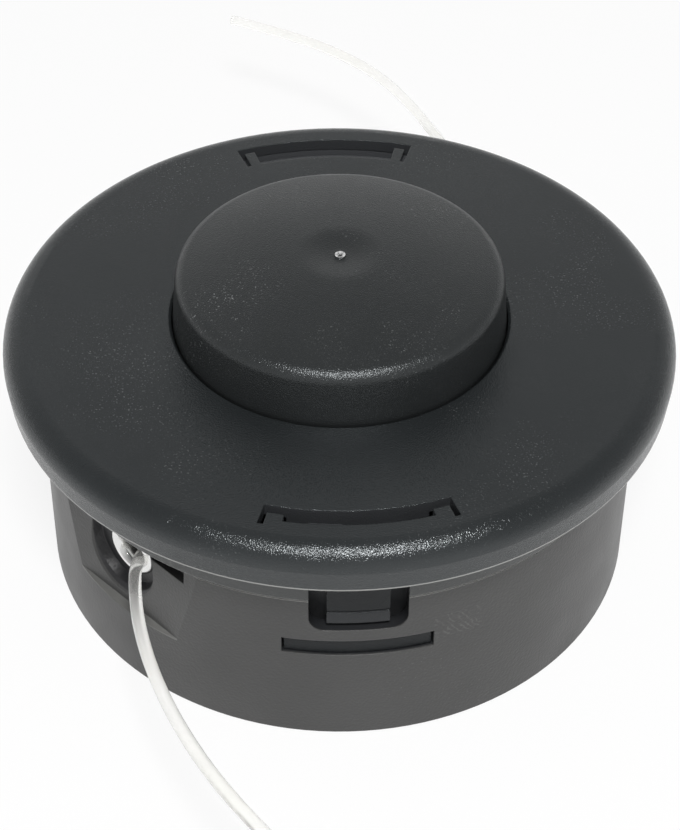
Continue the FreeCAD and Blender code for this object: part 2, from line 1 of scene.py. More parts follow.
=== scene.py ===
# %% [markdown]
# # A bump feed trimmer head
# The head lies on its gearbox side with the bump knob up, as it would on a bench.
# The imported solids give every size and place. This lesson adds what solids lack: moulded
# grain, softened edges, bright metal, two curling ends of clear line, and the light to see them by.

# %% Load the frame
import math

import bmesh
import bpy
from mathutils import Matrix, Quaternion, Vector


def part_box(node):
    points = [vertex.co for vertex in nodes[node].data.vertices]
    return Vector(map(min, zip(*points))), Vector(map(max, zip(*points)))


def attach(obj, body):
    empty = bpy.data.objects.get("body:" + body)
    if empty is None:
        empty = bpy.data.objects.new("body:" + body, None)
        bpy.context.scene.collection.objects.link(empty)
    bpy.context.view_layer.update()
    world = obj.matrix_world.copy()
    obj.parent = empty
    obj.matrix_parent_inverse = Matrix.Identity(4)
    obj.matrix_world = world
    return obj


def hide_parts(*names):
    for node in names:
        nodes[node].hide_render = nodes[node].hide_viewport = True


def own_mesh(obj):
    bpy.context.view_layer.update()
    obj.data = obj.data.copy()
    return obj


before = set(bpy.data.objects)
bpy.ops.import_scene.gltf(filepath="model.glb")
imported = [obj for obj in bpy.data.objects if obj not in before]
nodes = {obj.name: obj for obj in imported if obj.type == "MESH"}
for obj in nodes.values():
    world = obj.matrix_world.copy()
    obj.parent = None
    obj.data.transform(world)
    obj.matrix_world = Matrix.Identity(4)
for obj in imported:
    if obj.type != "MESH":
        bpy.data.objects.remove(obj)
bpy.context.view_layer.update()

MM = 0.001

# %% [markdown]
# ## The camera
# The picture was taken from a little under half way up, about three times the head's width away.
# A camera is placed by turning it round a target and pointing it back. The aim stands slightly above
# the target, so the head sits a little below the middle of the frame and no lens shift is needed.

# %% Camera
CAMERA_TARGET = Vector((0, 0, 20 * MM))
CAMERA_ANGLE = math.radians(266.3)
CAMERA_ELEVATION = math.radians(43.4)
CAMERA_DISTANCE = 408 * MM
CAMERA_LENS = 86.4
CAMERA_SENSOR = 36.0
CAMERA_NEAREST = 10 * MM
AIM_RIGHT = 0.2 * MM
AIM_UP = 5.37 * MM
CAMERA_ROLL = math.radians(0.42)


def place_camera():
    flat = Vector((math.cos(CAMERA_ANGLE), math.sin(CAMERA_ANGLE), 0))
    back = flat * math.cos(CAMERA_ELEVATION) + Vector((0, 0, math.sin(CAMERA_ELEVATION)))
    right = Vector((0, 0, 1)).cross(back).normalized()
    up = back.cross(right)
    aim = CAMERA_TARGET + right * AIM_RIGHT + up * AIM_UP
    camera = bpy.data.objects.new("camera", bpy.data.cameras.new("camera"))
    camera.data.lens = CAMERA_LENS
    camera.data.sensor_width = CAMERA_SENSOR
    camera.data.clip_start = CAMERA_NEAREST
    camera.location = CAMERA_TARGET + back * CAMERA_DISTANCE
    level = (aim - camera.location).to_track_quat("-Z", "Y")
    camera.rotation_euler = (level @ Quaternion((0, 0, 1), CAMERA_ROLL)).to_euler()
    bpy.context.scene.collection.objects.link(camera)
    bpy.context.scene.camera = camera
    return camera


camera = place_camera()
print("camera at", [round(v, 4) for v in camera.location])

# %% [markdown]
# ## Node helpers
# A finish is a small tree of shader nodes. It could be put together by hand in the editor, but then a size
# in it couldn't be worked out. These helpers add a node, set its plain values and join it up, so that each
# finish below reads as a short recipe. The scale of a pattern is per metre.

# %% Shader helpers


def new_finish(name):
    """A new material, its node tree and the Principled shader that Blender has joined to the output."""
    material = bpy.data.materials.new(name)
    material.use_nodes = True
    tree = material.node_tree
    shader = tree.nodes["Principled BSDF"]
    return material, tree, shader


def join(tree, source, target):
    tree.links.new(source, target)


def add_node(tree, kind, **values):
    """A node of this kind; a value names a property, or a socket when no property has the name."""
    node = tree.nodes.new(kind)
    for name, value in values.items():
        if hasattr(node, name):
            setattr(node, name, value)
        else:
            label = name.replace("_", " ").title()
            node.inputs[label].default_value = value
    return node


def noise(tree, coordinates, scale, detail=2.0, roughness=0.5):
    node = add_node(tree, "ShaderNodeTexNoise", scale=scale, detail=detail, roughness=roughness)
    join(tree, coordinates, node.inputs["Vector"])
    return node.outputs["Fac"]


def remap(tree, value, low, high, to_low=0.0, to_high=1.0):
    node = add_node(tree, "ShaderNodeMapRange", from_min=low, from_max=high, to_min=to_low, to_max=to_high)
    join(tree, value, node.inputs["Value"])
    return node.outputs["Result"]


def combine(tree, kind, first, second):
    """Maths on two values; a plain number may stand for either."""
    node = tree.nodes.new("ShaderNodeMath")
    node.operation = kind
    for socket, value in zip(node.inputs, (first, second)):
        if isinstance(value, (int, float)):
            socket.default_value = value
        else:
            join(tree, value, socket)
    return node.outputs["Value"]


def mix_colours(tree, factor, first, second):
    node = tree.nodes.new("ShaderNodeMix")
    node.data_type = "RGBA"
    join(tree, factor, node.inputs["Factor"])
    for socket, colour in ((node.inputs[6], first), (node.inputs[7], second)):
        if isinstance(colour, tuple):
            socket.default_value = (*colour, 1)
        else:
            join(tree, colour, socket)
    return node.outputs[2]


def bump(tree, height, distance, normal=None):
    node = add_node(tree, "ShaderNodeBump", strength=1.0, distance=distance)
    join(tree, height, node.inputs["Height"])
    if normal is not None:
        join(tree, normal, node.inputs["Normal"])
    return node.outputs["Normal"]


def object_coordinates(tree):
    return tree.nodes.new("ShaderNodeTexCoord").outputs["Object"]


print("shader helpers ready")

# %% [markdown]
# ## Masks
# A mask is a value that is one where a mark belongs and nought elsewhere. It could be painted, but that needs
# a UV map and a picture. Here it is worked out from where a point lies: across, along, up, and how far from
# the head's axis. Multiplying masks keeps the places where all of them hold.

# %% Mask helpers


def diagonal(tree, first, second):
    """How far a point lies off, when it is this far one way and that far square to it."""
    squares = [combine(tree, "MULTIPLY", value, value) for value in (first, second)]
    return combine(tree, "SQRT", combine(tree, "ADD", *squares), 0)


def places_on(tree, place):
    """Sockets for the place across, along and up, and its distance from the head's axis."""
    split = tree.nodes.new("ShaderNodeSeparateXYZ")
    join(tree, place, split.inputs["Vector"])
    at = {axis.lower(): split.outputs[axis] for axis in ("X", "Y", "Z")}
    at["radius"] = diagonal(tree, at["x"], at["y"])
    return at


def above(tree, value, limit):
    return combine(tree, "GREATER_THAN", value, limit)


def below(tree, value, limit):
    return combine(tree, "LESS_THAN", value, limit)


def both(tree, *masks):
    """Mask of the places where every given mask holds."""
    result = masks[0]
    for mask in masks[1:]:
        result = combine(tree, "MULTIPLY", result, mask)
    return result


def between(tree, value, low, high):
    return both(tree, above(tree, value, low), below(tree, value, high))


def paint(tree, shade, marks):
    """The shade with the colour of each mark laid over it, in turn, where its mask holds."""
    for mask, colour in marks:
        shade = mix_colours(tree, mask, shade, colour)
    return shade


print("mask helpers ready")

# %% [markdown]
# ## Moulded nylon
# The drum, cover and knob are black glass-filled nylon. Up close it isn't one colour: the mould leaves a fine
# grain that glints where a lamp is mirrored, handling polishes some of it, and pale dust sits in patches.
# A scanned texture would show its repeat. Noise at several sizes doesn't, and one recipe gives all the
# mouldings, each with its own shade and gloss.

# %% Nylon finish
NYLON_IOR = 1.53
SOFT_EDGE = 0.35 * MM
EDGE_SAMPLES = 6
CLOUD_SCALE = 28.0
CLOUD_RANGE = (0.35, 0.68)
DUST_COLOUR = (0.30, 0.31, 0.31)
DUST_PATCH_SCALE = 45.0
DUST_PATCH_RANGE = (0.5, 0.75)
SPECK_SCALE = 2400.0
SPECK_RANGE = (0.65, 0.74)
WEAR_SCALE = 90.0
WEAR_RANGE = (0.3, 0.7)
POLISHED = -0.03
ROUGHENED = 0.05
COOL_SHEEN = (0.93, 0.98, 1.0)
PLAIN_SHEEN = (1.0, 1.0, 1.0)


def soft_edges(tree, radius):
    """Shading normal that rounds the sharp corners of a moulding."""
    node = add_node(tree, "ShaderNodeBevel", samples=EDGE_SAMPLES, radius=radius)
    return node.outputs["Normal"]


def nylon(name, shades, roughness, grain, depth, specks, sheen=PLAIN_SHEEN, marks=None):
    """Moulded nylon: two shades, roughness, scale and depth of the grain, specks, sheen and marks."""
    material, tree, shader = new_finish(name)
    place = object_coordinates(tree)
    clouds = noise(tree, place, CLOUD_SCALE, detail=5.0)
    shade = mix_colours(tree, remap(tree, clouds, *CLOUD_RANGE), *shades)
    patches = remap(tree, noise(tree, place, DUST_PATCH_SCALE, detail=3.0), *DUST_PATCH_RANGE)
    dots = remap(tree, noise(tree, place, SPECK_SCALE, detail=1.0), *SPECK_RANGE)
    dust = combine(tree, "MULTIPLY", both(tree, patches, dots), specks)
    shade = mix_colours(tree, dust, shade, DUST_COLOUR)
    if marks is not None:
        shade = marks(tree, places_on(tree, place), shade)
    join(tree, shade, shader.inputs["Base Color"])
    worn = noise(tree, place, WEAR_SCALE, detail=5.0)
    handled = remap(tree, worn, *WEAR_RANGE, roughness + POLISHED, roughness + ROUGHENED)
    join(tree, handled, shader.inputs["Roughness"])
    pits = noise(tree, place, grain, detail=0.0)
    normal = bump(tree, pits, depth, normal=soft_edges(tree, SOFT_EDGE))
    join(tree, normal, shader.inputs["Normal"])
    shader.inputs["IOR"].default_value = NYLON_IOR
    shader.inputs["Specular Tint"].default_value = (*sheen, 1)
    return material


print("nylon recipe ready")

# %% [markdown]
# ## Marks on the knob
# The knob was broken off its runner when it left the mould. That tore an uneven pale ring in the middle of
# its top, round a small pit; its paler shade is partly a painted highlight off the rough break. A modelled
# scar would be too small to see, so a ring mask with a torn shade does it.

# %% Marks on the knob
GATE_R = 1.0 * MM
GATE_PIT_R = 0.34 * MM
GATE_LOW_Z = 67 * MM
# The ring's two shades: torn pale nylon, partly a painted highlight off the rough break.
GATE_TORN_AND_HIGHLIGHT_SHADES = ((0.12, 0.12, 0.12), (0.68, 0.68, 0.68))
GATE_TEAR_SCALE = 1500.0
GATE_TEAR_RANGE = (0.35, 0.65)


def knob_marks(tree, at, shade):
    """Pale ring in the middle of the knob's top: torn off its runner, and partly a painted highlight."""
    ring = both(tree, between(tree, at["radius"], GATE_PIT_R, GATE_R), above(tree, at["z"], GATE_LOW_Z))
    torn = remap(tree, noise(tree, object_coordinates(tree), GATE_TEAR_SCALE), *GATE_TEAR_RANGE)
    return mix_colours(tree, ring, shade, mix_colours(tree, torn, *GATE_TORN_AND_HIGHLIGHT_SHADES))


print("marks of the knob ready")

# %% [markdown]
# ## Marks on the cover
# Inside their windows the latches get a painted shade: they are darker than the disc and reflect less. The
# finger faces behind them and the feet of the pads get painted light, and so do the skirt, the sides of the
# slots and the rear slot's floor, which are paler than the disc. Thin pale lines under the rim and the skirt
# are painted highlights. The cover is one solid, so these can't be separate materials without cutting its
# mesh: masks by height and radius leave it alone.

# %% Marks on the cover
RIM_LOW_Z = 45.0 * MM
LATCH_R = 58.45 * MM
# Painted shade: the latches in their windows are darker than the disc, for the shade they sit in.
LATCH_PAINTED_SHADE = (0.006, 0.007, 0.008)
LATCH_SHEEN = 0.2
FULL_SHEEN = 0.5
FINGER_R = 54.4 * MM
# Painted light: the finger faces seen past the pads are lightened, for light reaching into the windows.
FINGER_PAINTED_LIGHT = (0.06, 0.062, 0.065)
PAD_FOOT_Z = (28.5 * MM, 32.3 * MM)
# Painted light: the feet of the pads are lighter than the rest of the shaded latch.
PAD_FOOT_PAINTED_LIGHT = (0.028, 0.029, 0.031)
# Painted light: the skirt is paler than the disc, for the light that the white floor throws onto it.
SKIRT_PAINTED_LIGHT = (0.044, 0.0445, 0.043)
# Painted highlight: a pale line along the lower edge of the skirt.
SKIRT_HIGHLIGHT_Z = (36.0 * MM, 36.5 * MM)
SKIRT_HIGHLIGHT_COLOUR = (0.3, 0.3, 0.29)
# Painted highlight: a pale line along the lower edge of the rim.
RIM_HIGHLIGHT_R = 63.9 * MM
RIM_HIGHLIGHT_H = 0.85 * MM
RIM_HIGHLIGHT_COLOUR = (0.26, 0.26, 0.25)
# Painted light: the sides of the slots, and the rear slot's floor, are paler than the disc, for light
# reaching in.
SLOT_R = (51.2 * MM, 57.7 * MM)
SLOT_Z = (45.0 * MM, 54.35 * MM)
SLOT_PAINTED_LIGHT = (0.04, 0.042, 0.045)
SLOT_LOW_Z = 52.05 * MM
SLOT_FLOOR_PAINTED_LIGHT = (0.072, 0.075, 0.08)


def cover_marks(tree, at, shade):
    """Painted shade on latches, painted light on skirt and slots, painted highlights under rim and skirt."""
    low = below(tree, at["z"], RIM_LOW_Z)
    inside = below(tree, at["radius"], LATCH_R)
    latch = both(tree, low, inside)
    finger = both(tree, low, below(tree, at["radius"], FINGER_R))
    foot = both(tree, latch, between(tree, at["z"], *PAD_FOOT_Z))
    skirt = both(tree, low, combine(tree, "SUBTRACT", 1, inside))
    skirt_highlight = both(tree, skirt, between(tree, at["z"], *SKIRT_HIGHLIGHT_Z))
    edge = between(tree, at["z"], RIM_LOW_Z - RIM_HIGHLIGHT_H, RIM_LOW_Z + RIM_HIGHLIGHT_H)
    rim_highlight = both(tree, edge, above(tree, at["radius"], RIM_HIGHLIGHT_R))
    slot = both(tree, between(tree, at["radius"], *SLOT_R), between(tree, at["z"], *SLOT_Z))
    slot_low = both(tree, slot, above(tree, at["y"], 0), below(tree, at["z"], SLOT_LOW_Z))
    # Less reflection on the latches deepens their painted shade.
    sheen = remap(tree, latch, 0, 1, FULL_SHEEN, LATCH_SHEEN)
    join(tree, sheen, tree.nodes["Principled BSDF"].inputs["Specular IOR Level"])
    return paint(tree, shade, (
        (skirt, SKIRT_PAINTED_LIGHT), (skirt_highlight, SKIRT_HIGHLIGHT_COLOUR), (latch, LATCH_PAINTED_SHADE), (foot, PAD_FOOT_PAINTED_LIGHT),
        (finger, FINGER_PAINTED_LIGHT), (rim_highlight, RIM_HIGHLIGHT_COLOUR), (slot, SLOT_PAINTED_LIGHT), (slot_low, SLOT_FLOOR_PAINTED_LIGHT)))


print("marks of the cover ready")

# %% [markdown]
# ## Marks at the outlets
# Each outlet has a flat with a glossy bowl that the line sweeps, and a ledge at the flat's foot. The bowl
# gets a painted shade, darker than the drum, and the ledge a painted highlight, a thin pale line. They could
# be cut out as pieces of their own, but the real drum is one moulding. A bowl is round when it is looked at
# along its outlet, so its mask measures along and across that axis. The outlets lie opposite each other, so
# one mask serves both.

# %% Marks at the outlets
OUTLET_ANGLE = math.radians(222.5)
OUTSIDE_SHARE = 0.9
BOWL_R = 10.4 * MM
BOWL_ASIDE = -1.9 * MM
BOWL_Z = 29.2 * MM
BOWL_SINK = 0.25 * MM
# Painted shade: the bowls are darker than the drum.
BOWL_PAINTED_SHADE = (0.012, 0.012, 0.014)
FLAT_D = 57.5 * MM
FLAT_LOW_Z = 16.4 * MM
FLAT_LEAN = 0.085
LEDGE_H = 0.62 * MM
# Painted highlight: a thin pale line on the ledge at the foot of each flat.
LEDGE_PAINTED_HIGHLIGHT = (0.11, 0.11, 0.105)


def outlet_masks(tree, at):
    """Masks of the bowls that the line sweeps (painted shade) and the ledges under their flats (painted
    highlight).
    """
    along = [combine(tree, "MULTIPLY", at["x"], math.cos(OUTLET_ANGLE)),
             combine(tree, "MULTIPLY", at["y"], math.sin(OUTLET_ANGLE))]
    aside = [combine(tree, "MULTIPLY", at["x"], -math.sin(OUTLET_ANGLE)),
             combine(tree, "MULTIPLY", at["y"], math.cos(OUTLET_ANGLE))]
    signed = combine(tree, "ADD", *along)
    side = combine(tree, "MULTIPLY", combine(tree, "ADD", *aside), combine(tree, "SIGN", signed, 0))
    reach = combine(tree, "ABSOLUTE", signed, 0)
    rise = combine(tree, "SUBTRACT", at["z"], FLAT_LOW_Z)
    upright = combine(tree, "ADD", reach, combine(tree, "MULTIPLY", rise, FLAT_LEAN))
    offset = combine(tree, "SUBTRACT", side, BOWL_ASIDE)
    height = combine(tree, "SUBTRACT", at["z"], BOWL_Z)
    round_bowl = below(tree, diagonal(tree, offset, height), BOWL_R)
    outside = above(tree, reach, FLAT_D * OUTSIDE_SHARE)
    bowl = both(tree, round_bowl, outside, below(tree, upright, FLAT_D - BOWL_SINK))
    on_ledge = between(tree, at["z"], FLAT_LOW_Z, FLAT_LOW_Z + LEDGE_H)
    ledge = both(tree, on_ledge, above(tree, reach, FLAT_D))
    return bowl, ledge


print("marks of the outlets ready")

# %% [markdown]
# ## Openings, shoulder and scuffs
# The drum's latch openings get a painted shade inside, a painted highlight runs as a pale line along its
# shoulder, and one patch beside the front latch is scuffed. Scratches drawn one by one would look placed.
# Waves that are bent out of true and broken up by noise give hairlines that seem to have come by chance.

# %% Other marks on the drum
OPENING_R = 58.6 * MM
OPENING_HALF_W = 15.5 * MM
OPENING_LOW_Z = 20 * MM
# Painted shade inside the drum's latch openings.
OPENING_PAINTED_SHADE = (0.02, 0.021, 0.023)
SHOULDER_Z = (35.9 * MM, 36.05 * MM)
SHOULDER_R = 57.5 * MM
# Painted highlight: a pale line along the outer edge of the shoulder.
SHOULDER_PAINTED_HIGHLIGHT = (0.3, 0.3, 0.29)
SCUFF_X = (14.0 * MM, 23.0 * MM)
SCUFF_Z = (23.5 * MM, 29.5 * MM)
SCUFF_COLOUR = (0.095, 0.095, 0.092)
SCUFF_SCALE = 420.0
SCUFF_BEND = 7.0
SCUFF_CREST = 0.5
SCUFF_STRENGTH = 0.6
SCUFF_BREAK_SCALE = 500.0
SCUFF_BREAK_RANGE = (0.45, 0.62)


def scuff_mask(tree, at):
    """Broken hairlines on one patch beside the front latch."""
    patch = both(tree, between(tree, at["x"], *SCUFF_X), between(tree, at["z"], *SCUFF_Z),
                 below(tree, at["y"], 0))
    place = object_coordinates(tree)
    waves = add_node(tree, "ShaderNodeTexWave", scale=SCUFF_SCALE, distortion=SCUFF_BEND, detail=2.0)
    waves.bands_direction = "DIAGONAL"
    join(tree, place, waves.inputs["Vector"])
    hairlines = remap(tree, waves.outputs["Fac"], SCUFF_CREST, 1.0, 0.0, SCUFF_STRENGTH)
    broken = remap(tree, noise(tree, place, SCUFF_BREAK_SCALE), *SCUFF_BREAK_RANGE)
    return both(tree, patch, broken, hairlines)


def drum_marks(tree, at, shade):
    """Painted shade in the outlets' bowls and latch openings, painted highlights on ledges and shoulder, a
    few scuffs.
    """
    bowl, ledge = outlet_masks(tree, at)
    across = below(tree, combine(tree, "ABSOLUTE", at["x"], 0), OPENING_HALF_W)
    within = between(tree, at["radius"], OPENING_R * OUTSIDE_SHARE, OPENING_R)
    opening = both(tree, across, within, above(tree, at["z"], OPENING_LOW_Z))
    shoulder = both(tree, between(tree, at["z"], *SHOULDER_Z), above(tree, at["radius"], SHOULDER_R))
    return paint(tree, shade, (
        (bowl, BOWL_PAINTED_SHADE), (ledge, LEDGE_PAINTED_HIGHLIGHT), (opening, OPENING_PAINTED_SHADE),
        (scuff_mask(tree, at), SCUFF_COLOUR), (shoulder, SHOULDER_PAINTED_HIGHLIGHT)))


print("marks of the drum ready")

# %% [markdown]
# ## The four mouldings
# The drum is greyer and more matt than the glossy cover, the knob carries more dust, and the spool inside is
# plain black. Four finishes made by hand would drift apart. One recipe with four sets of numbers keeps them
# alike, as mouldings from one works are.

# %% The four mouldings
FINE_GRAIN = {"grain": 4600.0, "depth": 0.000075}
COARSE_GRAIN = {"grain": 2000.0, "depth": 0.00005}
DRUM_SHADES = ((0.0345, 0.0345, 0.0341), (0.042, 0.042, 0.0414))
COVER_SHADES = ((0.0132, 0.0152, 0.0162), (0.0182, 0.0205, 0.0216))
KNOB_SHADES = ((0.014, 0.0155, 0.016), (0.019, 0.0205, 0.021))
SPOOL_SHADES = ((0.012, 0.012, 0.012), (0.016, 0.016, 0.016))
DRUM_NYLON = nylon("drum nylon", DRUM_SHADES, roughness=0.4, specks=0.15, marks=drum_marks, **COARSE_GRAIN)
COVER_NYLON = nylon("cover nylon", COVER_SHADES, roughness=0.2, specks=0.4, sheen=COOL_SHEEN,
                    marks=cover_marks, **FINE_GRAIN)
KNOB_NYLON = nylon("knob nylon", KNOB_SHADES, roughness=0.3, specks=0.8, sheen=COOL_SHEEN,
                   marks=knob_marks, **FINE_GRAIN)
SPOOL_NYLON = nylon("spool nylon", SPOOL_SHADES, roughness=0.42, specks=0.1, **COARSE_GRAIN)
print("nylon finishes", [m.name for m in (DRUM_NYLON, COVER_NYLON, KNOB_NYLON, SPOOL_NYLON)])

# %% [markdown]
# ## Metal
# The eyelets are bright rolled bushes, the nut is plain steel and the spring is drawn wire. A plain mirror
# would look like a drawing. Fine streaks that vary the gloss and the slope make it look handled.

# %% Metal finishes
STREAK_RANGE = (0.3, 0.7)
STREAK_SMOOTHER = -0.08
STREAK_ROUGHER = 0.12


def metal(name, colour, roughness, scratch_scale, scratch_depth):
    material, tree, shader = new_finish(name)
    place = object_coordinates(tree)
    shader.inputs["Base Color"].default_value = (*colour, 1)
    shader.inputs["Metallic"].default_value = 1.0
    streaks = noise(tree, place, scratch_scale, detail=6.0)
    rough = remap(tree, streaks, *STREAK_RANGE, roughness + STREAK_SMOOTHER, roughness + STREAK_ROUGHER)
    join(tree, rough, shader.inputs["Roughness"])
    join(tree, bump(tree, streaks, scratch_depth), shader.inputs["Normal"])
    return material


EYELET_STEEL = metal("eyelet steel", (0.78, 0.78, 0.77), roughness=0.14, scratch_scale=300.0,
                     scratch_depth=0.000003)
NUT_STEEL = metal("nut steel", (0.45, 0.45, 0.46), roughness=0.4, scratch_scale=900.0, scratch_depth=0.00002)
SPRING_STEEL = metal("spring steel", (0.55, 0.55, 0.56), roughness=0.32, scratch_scale=1500.0,
                     scratch_depth=0.00002)
print("metal finishes", [m.name for m in (EYELET_STEEL, NUT_STEEL, SPRING_STEEL)])

# %% [markdown]
# ## Clear line
# The cutting line is clear nylon: it shows the dark drum behind it with one bright side, and fades to white
# over the floor. Glass alone would look too hard, so a share of it lets light glow through. One stretch a
# little way out from the drum is made milky white as painted light, where the lamp falls on the line.

# %% Line finish
LINE_SHADES = ((0.99, 0.987, 0.96), (0.998, 0.996, 0.98))
LINE_HAZE_SCALE = 60.0
LINE_HAZE_RANGE = (0.35, 0.65)
LINE_ROUGHNESS = 0.12
# Painted light: the line turns milky white round this distance from the axis, where the lamp falls on it.
LINE_LIT_STRETCH_R = 84.0 * MM
LINE_LIT_STRETCH_REACH = (6.0 * MM, 22.0 * MM)
LINE_CLARITY = (0.2, 0.95)
LINE_GLOW = 0.15


def clear_line(name):
    """Clear nylon with one stretch, a little way out from the drum, made milky white as painted light."""
    material, tree, shader = new_finish(name)
    place = object_coordinates(tree)
    haze = remap(tree, noise(tree, place, LINE_HAZE_SCALE, detail=3.0), *LINE_HAZE_RANGE)
    colour = mix_colours(tree, haze, *LINE_SHADES)
    join(tree, colour, shader.inputs["Base Color"])
    shader.inputs["Roughness"].default_value = LINE_ROUGHNESS
    shader.inputs["IOR"].default_value = NYLON_IOR
    from_lit_stretch = combine(tree, "SUBTRACT", places_on(tree, place)["radius"], LINE_LIT_STRETCH_R)
    clear = remap(tree, combine(tree, "ABSOLUTE", from_lit_stretch, 0), *LINE_LIT_STRETCH_REACH, *LINE_CLARITY)
    join(tree, clear, shader.inputs["Transmission Weight"])
    through = tree.nodes.new("ShaderNodeBsdfTranslucent")
    join(tree, colour, through.inputs["Color"])
    mixed = tree.nodes.new("ShaderNodeMixShader")
    mixed.inputs["Fac"].default_value = LINE_GLOW
    join(tree, shader.outputs["BSDF"], mixed.inputs[1])
    join(tree, through.outputs["BSDF"], mixed.inputs[2])
    join(tree, mixed.outputs["Shader"], tree.nodes["Material Output"].inputs["Surface"])
    return material


LINE_NYLON = clear_line("line nylon")
print("line finish", LINE_NYLON.name)

# %% [markdown]
# ## The two line ends
# Each line comes out of its eyelet and keeps the curl that it had on the spool, sinking a little under its
# weight. A tube swept from point to point would show its corners. A NURBS curve, which a few listed control
# points pull into shape, gives that even curl.

# %% Cutting line
LINE_DIAMETER = 2.4 * MM
LINE_Z = 29.1
LINE_DROOP = (0, 0, 0, 0.1, 0.2, 0.3, 0.5, 0.7, 0.9, 1.2, 1.5, 1.8)
LINE_ROUNDNESS = 6
LINE_ORDER = 3
LINE_STEPS = 10
FRONT_ROUTE = (
    (-38.1, -35.75), (-40.3, -40.2), (-40.4, -47.0), (-39.5, -56.0), (-37.1, -66.3), (-33.0, -77.6),
    (-27.0, -89.4), (-19.2, -100.8), (-9.6, -112.2), (1.8, -122.0), (15.2, -130.0), (29.8, -135.6))
REAR_ROUTE = (
    (38.1, 35.75), (40.45, 40.2), (41.0, 47.0), (39.6, 57.5), (36.9, 69.5), (33.1, 82.0),
    (28.8, 95.0), (23.8, 109.2), (17.0, 122.8), (6.8, 134.5), (-5.2, 143.7), (-18.4, 151.5))


def line_end(name, route):
    """One free end of the cutting line, as a round NURBS curve that rides on the housing."""
    curve = bpy.data.curves.new(name, "CURVE")
    curve.dimensions = "3D"
    curve.bevel_depth = LINE_DIAMETER / 2
    curve.bevel_resolution = LINE_ROUNDNESS
    curve.use_fill_caps = True
    spline = curve.splines.new("NURBS")
    spline.points.add(len(route) - 1)
    for point, (x, y), droop in zip(spline.points, route, LINE_DROOP):
        point.co = (x * MM, y * MM, (LINE_Z - droop) * MM, 1)
    spline.order_u = LINE_ORDER
    spline.use_endpoint_u = True
    spline.resolution_u = LINE_STEPS
    curve.materials.append(LINE_NYLON)
    piece = bpy.data.objects.new(name, curve)
    bpy.context.scene.collection.objects.link(piece)
    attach(piece, "housing")
    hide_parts(name)
    return piece


LINE_PIECES = [
    line_end("line_front", FRONT_ROUTE),
    line_end("line_rear", REAR_ROUTE)]
print("line ends", [piece.name for piece in LINE_PIECES])

# %% [markdown]
# ## Turned rings
# An eyelet and the threaded nut are both stacks of rings with the same number of points. A screw modifier
# turns one profile, but it can't join a round thread to a hexagon. Joining each ring to the next with quads,
# and the last to the first, closes any such body.

# %% Ring stacks
SHARP_ANGLE = math.radians(35)


def mesh_piece(name, mesh, material):
    """An object at the origin that holds the finished mesh, shaded smooth up to the sharp angle."""
    data = bpy.data.meshes.new(name)
    mesh.to_mesh(data)
    mesh.free()
    data.materials.append(material)
    data.shade_smooth()
    data.set_sharp_from_angle(angle=SHARP_ANGLE)
    piece = bpy.data.objects.new(name, data)
    bpy.context.scene.collection.objects.link(piece)
    return piece


def ring_stack(name, rings, material):
    """Closed mesh through rings of points; the last ring joins the first."""
    mesh = bmesh.new()
    rows = [[mesh.verts.new(point) for point in ring] for ring in rings]
    for low, high in zip(rows, rows[1:] + rows[:1]):
        for i in range(len(low)):
            j = (i + 1) % len(low)
            mesh.faces.new((low[i], low[j], high[j], high[i]))
    bmesh.ops.recalc_face_normals(mesh, faces=mesh.faces)
    return mesh_piece(name, mesh, material)


def full_turn(count):
    """Angles of this many points, evenly round a circle."""
    return [2 * math.pi * i / count for i in range(count)]


def place_piece(piece, body, node):
    """Ride the piece on its body and hide the solid that it stands for."""
    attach(piece, body)
    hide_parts(node)


print("ring stacks ready")

# %% [markdown]
# ## Eyelets
# A bush of bright metal lines each outlet so that the line doesn't saw through the nylon. Its mouth is
# rolled: the flange is a soft lip, not a flat washer. The profile is worked out from the reach of the solid
# along the outlet's axis and round it, and turned once for each side.

# %% Eyelets
EYELET_AXES = {"eyelet_front": OUTLET_ANGLE, "eyelet_rear": OUTLET_ANGLE - math.pi}
EYELET_BORE_R = 3.2 * MM
EYELET_BARREL_R = 4.4 * MM
EYELET_SEAT = 1.6 * MM
EYELET_POINTS = 72
ROLL_WIDTH_IN_LIPS = 1.5
FLARE_LENGTH_IN_LIPS = 3
FLARE_POINTS = 12
ROLL_POINTS = 10


def arc_points(middle, radius, start, end, count):
    """Points on an arc of a profile, from one angle to another in degrees; the radius may differ each way."""
    angles = [math.radians(start + (end - start) * i / (count - 1)) for i in range(count)]
    return [(middle[0] + radius[0] * math.cos(a), middle[1] + radius[1] * math.sin(a)) for a in angles]


def eyelet_profile(inner, front, flange_r):
    """Distance along the axis and radius, from the bore's inner end round the mouth and back."""
    seat = front - EYELET_SEAT
    lip = EYELET_SEAT / 2
    roll_w = ROLL_WIDTH_IN_LIPS * lip
    flare_l = FLARE_LENGTH_IN_LIPS * lip
    crest_r = flange_r - roll_w
    flare = arc_points((front - flare_l, crest_r), (flare_l, crest_r - EYELET_BORE_R), -90, 0, FLARE_POINTS)
    roll = arc_points((seat + lip / 2, crest_r), (front - seat - lip / 2, roll_w), 0, 90, ROLL_POINTS)
    back = [(seat, flange_r - lip / 2), (seat, EYELET_BARREL_R), (inner, EYELET_BARREL_R)]
    return [(inner, EYELET_BORE_R)] + flare + roll[1:] + back


